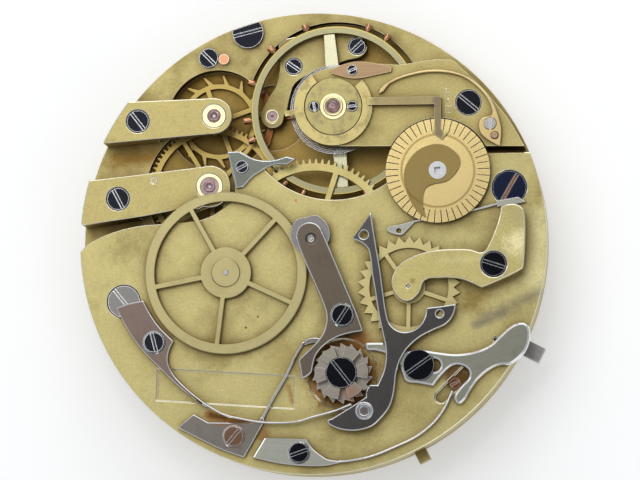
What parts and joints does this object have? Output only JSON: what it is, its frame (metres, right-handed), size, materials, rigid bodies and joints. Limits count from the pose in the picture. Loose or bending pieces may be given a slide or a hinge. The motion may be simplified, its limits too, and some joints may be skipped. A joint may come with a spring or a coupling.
{
  "type": "pocket watch movement",
  "caption": "Round pocket chronograph movement with a pierced bridge, balance under a cock, wheels and a column wheel, levers and springs of the stopwatch work.",
  "frame": {"origin": "centre of the dial side face of the main plate", "axes": "+Z from the dial side to the bridges; +X to the right and +Y up as seen from the bridge side, with the winding stem at lower right"},
  "size_m": [0.043, 0.043, 0.0092],
  "materials": {
    "gilt": "frosted gilt",
    "brass": "grained gilt",
    "steel": "satin",
    "dark_steel": "polished, darkened",
    "purple_steel": "satin, browned",
    "blued": "polished, blued",
    "copper": "copper toned",
    "ruby": "polished"
  },
  "bodies": {
    "frame": {"main_plate": "gilt", "three_quarter_bridge": "gilt", "escape_cock": "gilt", "fourth_cock": "gilt", "balance_cock": "gilt", "pallet_cock": "gilt", "minute_counter_cock": "brass", "guard_finger": "dark_steel", "click_spring": "steel", "hairspring": "blued", "hairspring_stud": "copper", "cap_jewel_plate": "steel", "hammer_spring": "purple_steel", "column_jumper": "dark_steel", "counter_jumper": "steel", "frame_screws": "blued", "work_screws": "blued", "jewels": "ruby", "jewel_settings": "brass"},
    "barrel": {"barrel_drum": "brass", "barrel_cover": "brass", "mainspring": "steel"},
    "winding_arbor": {"barrel_arbor": "steel", "ratchet_wheel": "steel"},
    "click": {"click": "steel"},
    "transfer_wheel": {"transfer_wheel": "steel"},
    "crown_wheel": {"crown_wheel": "steel"},
    "stem": {"winding_stem": "steel", "winding_pinion": "steel"},
    "sliding_pinion": {"sliding_pinion": "steel"},
    "setting_lever": {"setting_lever": "steel"},
    "centre": {"centre_arbor": "steel", "centre_wheel": "brass", "cannon_pinion": "steel"},
    "minute_wheel": {"minute_wheel": "brass"},
    "hour_wheel": {"hour_wheel": "brass"},
    "third": {"third_arbor": "steel", "third_wheel": "brass", "driving_wheel": "brass"},
    "fourth": {"fourth_arbor": "steel", "fourth_wheel": "brass"},
    "escape": {"escape_arbor": "steel", "escape_wheel": "brass"},
    "pallet": {"pallet_fork": "steel", "pallet_stones": "ruby"},
    "balance": {"balance_wheel": "brass", "balance_screws": "copper", "balance_staff": "steel"},
    "index": {"regulator_index": "brass"},
    "index_spring": {"index_spring": "steel"},
    "snail": {"snail_disc": "brass", "snail_post": "steel"},
    "runner": {"runner_arbor": "steel", "runner_heart": "steel"},
    "counter": {"counter_wheel": "brass"},
    "coupling_lever": {"coupling_lever": "purple_steel"},
    "hammer": {"hammer": "dark_steel"},
    "column_wheel": {"column_wheel": "dark_steel"},
    "operating_lever": {"operating_lever": "steel"},
    "operating_spring": {"operating_spring": "steel"}
  },
  "joints": [
    {"name": "centre_turn", "type": "hinge", "parent": "frame", "child": "centre", "pos_m": [0, 0, 0.003], "axis": [0, 0, 1], "continuous": true},
    {"name": "barrel_turn", "type": "hinge", "parent": "frame", "child": "barrel", "pos_m": [0, -0.009, 0.002], "axis": [0, 0, 1], "continuous": true},
    {"name": "third_turn", "type": "hinge", "parent": "frame", "child": "third", "pos_m": [-0.0079, -0.003, 0.003], "axis": [0, 0, 1], "continuous": true},
    {"name": "fourth_turn", "type": "hinge", "parent": "frame", "child": "fourth", "pos_m": [-0.0095, 0.00505, 0.003], "axis": [0, 0, 1], "continuous": true},
    {"name": "escape_turn", "type": "hinge", "parent": "frame", "child": "escape", "pos_m": [-0.0091, 0.0116, 0.002], "axis": [0, 0, 1], "continuous": true},
    {"name": "minute_turn", "type": "hinge", "parent": "frame", "child": "minute_wheel", "pos_m": [-0.00312, 0.0018, 0.0004], "axis": [0, 0, 1], "continuous": true},
    {"name": "hour_turn", "type": "hinge", "parent": "frame", "child": "hour_wheel", "pos_m": [0, 0, 0], "axis": [0, 0, 1], "continuous": true},
    {"name": "runner_turn", "type": "hinge", "parent": "frame", "child": "runner", "pos_m": [0, 0, 0.005], "axis": [0, 0, 1], "continuous": true},
    {"name": "counter_turn", "type": "hinge", "parent": "frame", "child": "counter", "pos_m": [0.0089, -0.00445, 0.0051], "axis": [0, 0, 1], "continuous": true},
    {"name": "winding_turn", "type": "hinge", "parent": "frame", "child": "winding_arbor", "pos_m": [0, -0.009, 0.0005], "axis": [0, 0, 1], "continuous": true},
    {"name": "transfer_turn", "type": "hinge", "parent": "frame", "child": "transfer_wheel", "pos_m": [0.00703, -0.00746, 0.0005], "axis": [0, 0, 1], "continuous": true},
    {"name": "crown_turn", "type": "hinge", "parent": "frame", "child": "crown_wheel", "pos_m": [0.0124, -0.00628, 0.0005], "axis": [0, 0, 1], "continuous": true},
    {"name": "stem_turn", "type": "hinge", "parent": "frame", "child": "stem", "pos_m": [0.01516, -0.00768, 0.0016], "axis": [0.892, -0.452, 0], "continuous": true},
    {"name": "click_lift", "type": "hinge", "parent": "frame", "child": "click", "pos_m": [-0.0054, -0.0061, 0.00045], "axis": [0, 0, 1], "range_deg": [-6, 0]},
    {"name": "pallet_rock", "type": "hinge", "parent": "frame", "child": "pallet", "pos_m": [-0.004, 0.0119, 0.0008], "axis": [0, 0, 1], "range_deg": [-4, 4]},
    {"name": "balance_swing", "type": "hinge", "parent": "frame", "child": "balance", "pos_m": [0.002, 0.01225, 0.0027], "axis": [0, 0, 1], "range_deg": [-220, 220]},
    {"name": "snail_turn", "type": "hinge", "parent": "frame", "child": "snail", "pos_m": [0.0116, 0.0062, 0.0055], "axis": [0, 0, 1], "range_deg": [-100, 50]},
    {"name": "index_move", "type": "hinge", "parent": "frame", "child": "index", "pos_m": [0.002, 0.01225, 0.0054], "axis": [0, 0, 1], "range_deg": [-6, 6]},
    {"name": "index_spring_flex", "type": "hinge", "parent": "frame", "child": "index_spring", "pos_m": [0.0164, 0.01048, 0.0054], "axis": [0, 0, 1], "range_deg": [-6, 6]},
    {"name": "column_turn", "type": "hinge", "parent": "frame", "child": "column_wheel", "pos_m": [0.0028, -0.0123, 0.0055], "axis": [0, 0, 1], "continuous": true},
    {"name": "hammer_fall", "type": "hinge", "parent": "frame", "child": "hammer", "pos_m": [0.00485, -0.01575, 0.00575], "axis": [0, 0, 1], "range_deg": [0, 8]},
    {"name": "coupling_rock", "type": "hinge", "parent": "frame", "child": "coupling_lever", "pos_m": [0.0029, -0.00705, 0.0061], "axis": [0, 0, 1], "range_deg": [0, 0.4]},
    {"name": "lever_push", "type": "slide", "parent": "frame", "child": "operating_lever", "axis": [-1, 0, 0], "range_m": [0, 0.00035]},
    {"name": "operating_spring_flex", "type": "hinge", "parent": "frame", "child": "operating_spring", "pos_m": [-0.00115, -0.0195, 0.0052], "axis": [0, 0, 1], "range_deg": [0, 3]},
    {"name": "setting_turn", "type": "hinge", "parent": "frame", "child": "setting_lever", "pos_m": [0.01358, -0.00352, 0.0016], "axis": [0, 0, 1], "range_deg": [-6, 6]},
    {"name": "pinion_slide", "type": "slide", "parent": "stem", "child": "sliding_pinion", "axis": [0.892, -0.452, 0], "range_m": [-0.00025, 0.00025]}
  ],
  "couplings": [
    {"joint": "barrel_turn", "follows": "centre_turn", "ratio": -0.125},
    {"joint": "third_turn", "follows": "centre_turn", "ratio": -8},
    {"joint": "fourth_turn", "follows": "centre_turn", "ratio": 60},
    {"joint": "escape_turn", "follows": "centre_turn", "ratio": -600},
    {"joint": "minute_turn", "follows": "centre_turn", "ratio": -0.33333},
    {"joint": "hour_turn", "follows": "centre_turn", "ratio": 0.083333},
    {"joint": "runner_turn", "follows": "centre_turn", "ratio": 60},
    {"joint": "counter_turn", "follows": "centre_turn", "ratio": -2},
    {"joint": "transfer_turn", "follows": "winding_turn", "ratio": -1.4828},
    {"joint": "crown_turn", "follows": "winding_turn", "ratio": 1.6538},
    {"joint": "stem_turn", "follows": "winding_turn", "ratio": 3.9091},
    {"joint": "index_move", "follows": "snail_turn", "ratio": -0.052},
    {"joint": "index_spring_flex", "follows": "snail_turn", "ratio": 0.0213},
    {"joint": "operating_spring_flex", "follows": "lever_push", "rad_per_m": 50},
    {"joint": "setting_turn", "follows": "pinion_slide", "rad_per_m": 416.67}
  ]
}
